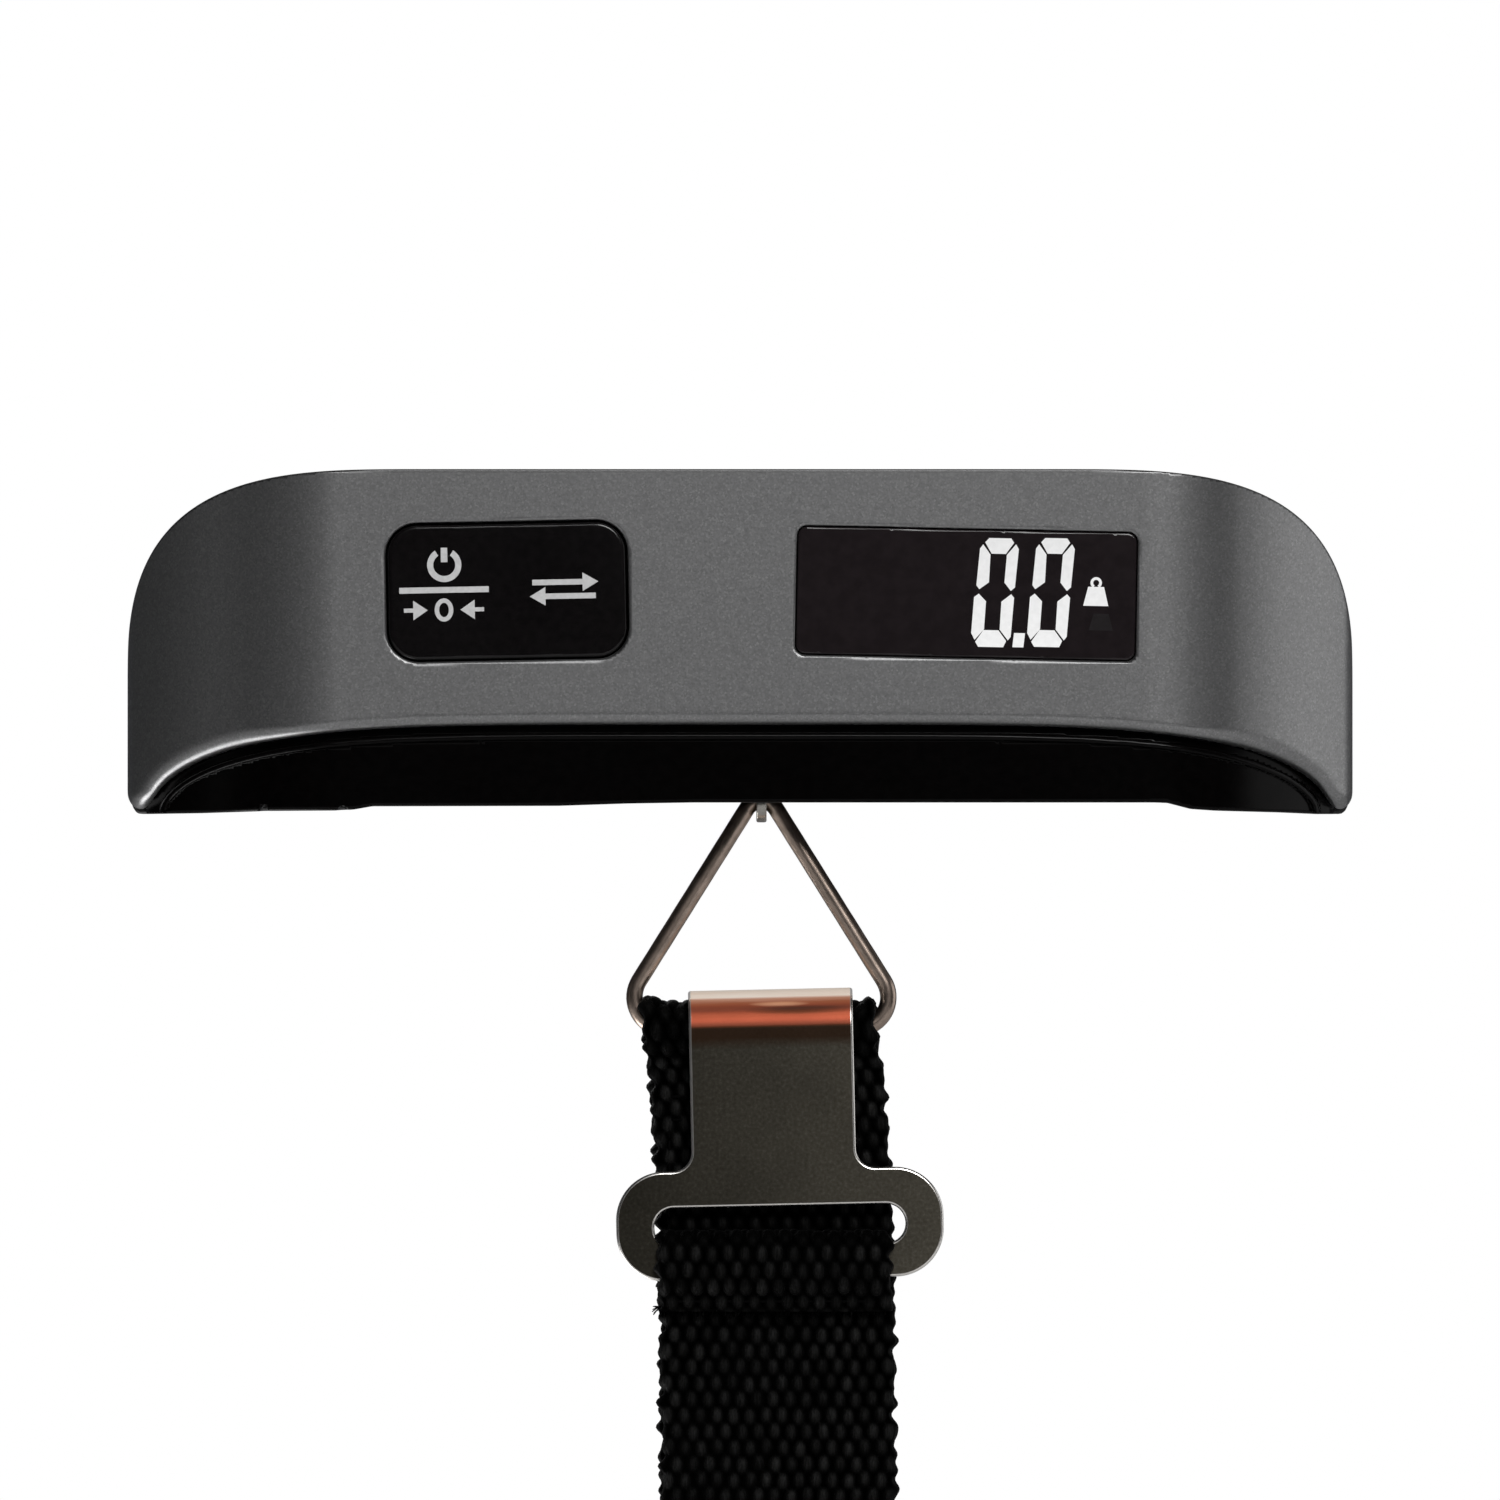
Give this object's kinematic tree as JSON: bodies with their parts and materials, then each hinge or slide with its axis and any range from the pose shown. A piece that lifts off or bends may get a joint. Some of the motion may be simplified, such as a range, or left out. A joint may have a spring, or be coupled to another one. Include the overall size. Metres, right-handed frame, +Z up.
{
  "type": "luggage scale",
  "caption": "Hand-held hanging scale: rounded grip body with display window and rocker key, triangular wire ring, slotted hook plate and woven strap loop.",
  "frame": {"origin": "centre of the grip body, where the hand holds it", "axes": "+X to the right along the grip, -Y out of the display side, +Z up; the strap hangs along -Z"},
  "size_m": [0.132, 0.0272, 0.1796],
  "materials": {
    "cover_grey": "satin",
    "gloss_black": "gloss",
    "soft_black": "matte",
    "pin_steel": "satin",
    "key_black": "gloss",
    "switch_black": "matte",
    "plunger_white": "matte",
    "lens_dark": "gloss",
    "lcd_glass": "gloss",
    "frame_black": "matte",
    "diffuser_white": "matte",
    "elastomer": "matte",
    "pcb_green": "satin",
    "chip_black": "matte",
    "component_tan": "satin",
    "cell_steel": "satin",
    "contact_metal": "satin",
    "wire_red": "satin",
    "beam_aluminium": "satin",
    "gauge_film": "satin",
    "wire_pale": "satin",
    "zinc_steel": "satin",
    "black_steel": "satin",
    "hanger_nickel": "polished",
    "ring_nickel": "polished",
    "webbing_black": "woven",
    "thread_black": "woven",
    "hook_nickel": "satin"
  },
  "bodies": {
    "housing": {"front_cover": "cover_grey", "base_trim": "gloss_black", "rear_cover": "soft_black", "door_hinge_pin": "pin_steel", "key_pivot_pin": "pin_steel", "switch_bodies": "switch_black", "display_lens": "lens_dark", "lcd_glass": "lcd_glass", "lcd_frame": "frame_black", "lcd_backlight": "diffuser_white", "zebra_strips": "elastomer", "main_pcb": "pcb_green", "controller_chip": "chip_black", "pcb_components": "component_tan", "coin_cell": "cell_steel", "battery_contact_positive": "contact_metal", "battery_contact_negative": "contact_metal", "battery_wires": "wire_red", "load_cell_beam": "beam_aluminium", "strain_gauges": "gauge_film", "gauge_wires": "wire_pale", "load_cell_spacer": "zinc_steel", "backbone_plate": "zinc_steel", "load_cell_screws": "zinc_steel", "backbone_screws": "zinc_steel", "housing_screws": "black_steel", "pcb_screws": "zinc_steel"},
    "door": {"battery_door": "soft_black"},
    "key": {"key_cap": "key_black"},
    "plunger_left": {"switch_plunger_left": "plunger_white"},
    "plunger_right": {"switch_plunger_right": "plunger_white"},
    "hanger": {"eye_bolt": "hanger_nickel", "eye_nut": "zinc_steel", "eye_washer": "zinc_steel"},
    "ring": {"triangle_ring": "ring_nickel"},
    "strap": {"webbing_strap": "webbing_black", "strap_stitching": "thread_black"},
    "hook": {"hook_plate": "hook_nickel", "webbing_end_loop": "webbing_black", "end_stitching": "thread_black"}
  },
  "joints": [
    {"name": "key_rock", "type": "hinge", "parent": "housing", "child": "key", "pos_m": [-0.025, -0.0092, 0.00535], "axis": [0, 0, 1], "range_deg": [-2, 2], "stiffness_Nm_per_rad": 0.05},
    {"name": "plunger_left_press", "type": "slide", "parent": "housing", "child": "plunger_left", "axis": [0, 1, 0], "range_m": [-0.0003, 0.0003]},
    {"name": "plunger_right_press", "type": "slide", "parent": "housing", "child": "plunger_right", "axis": [0, 1, 0], "range_m": [-0.0003, 0.0003]},
    {"name": "battery_door_swing", "type": "hinge", "parent": "housing", "child": "door", "pos_m": [-0.04675, 0.0121, 0.0072], "axis": [1, 0, 0], "range_deg": [0, 75]},
    {"name": "hanger_swivel", "type": "hinge", "parent": "housing", "child": "hanger", "pos_m": [0.0023, 0, -0.0075], "axis": [0, 0, 1], "continuous": true},
    {"name": "ring_swing", "type": "hinge", "parent": "hanger", "child": "ring", "pos_m": [0.0023, 0, -0.01718], "axis": [1, 0, 0], "range_deg": [-50, 50]},
    {"name": "strap_swing", "type": "hinge", "parent": "ring", "child": "strap", "pos_m": [0.0023, 0, -0.0417], "axis": [1, 0, 0], "range_deg": [-45, 45]},
    {"name": "hook_lift", "type": "slide", "parent": "strap", "child": "hook", "axis": [0, 0, 1], "range_m": [0, 0.00305]}
  ],
  "couplings": [
    {"joint": "plunger_left_press", "follows": "key_rock", "m_per_rad": -0.0085},
    {"joint": "plunger_right_press", "follows": "key_rock", "m_per_rad": 0.0085}
  ]
}
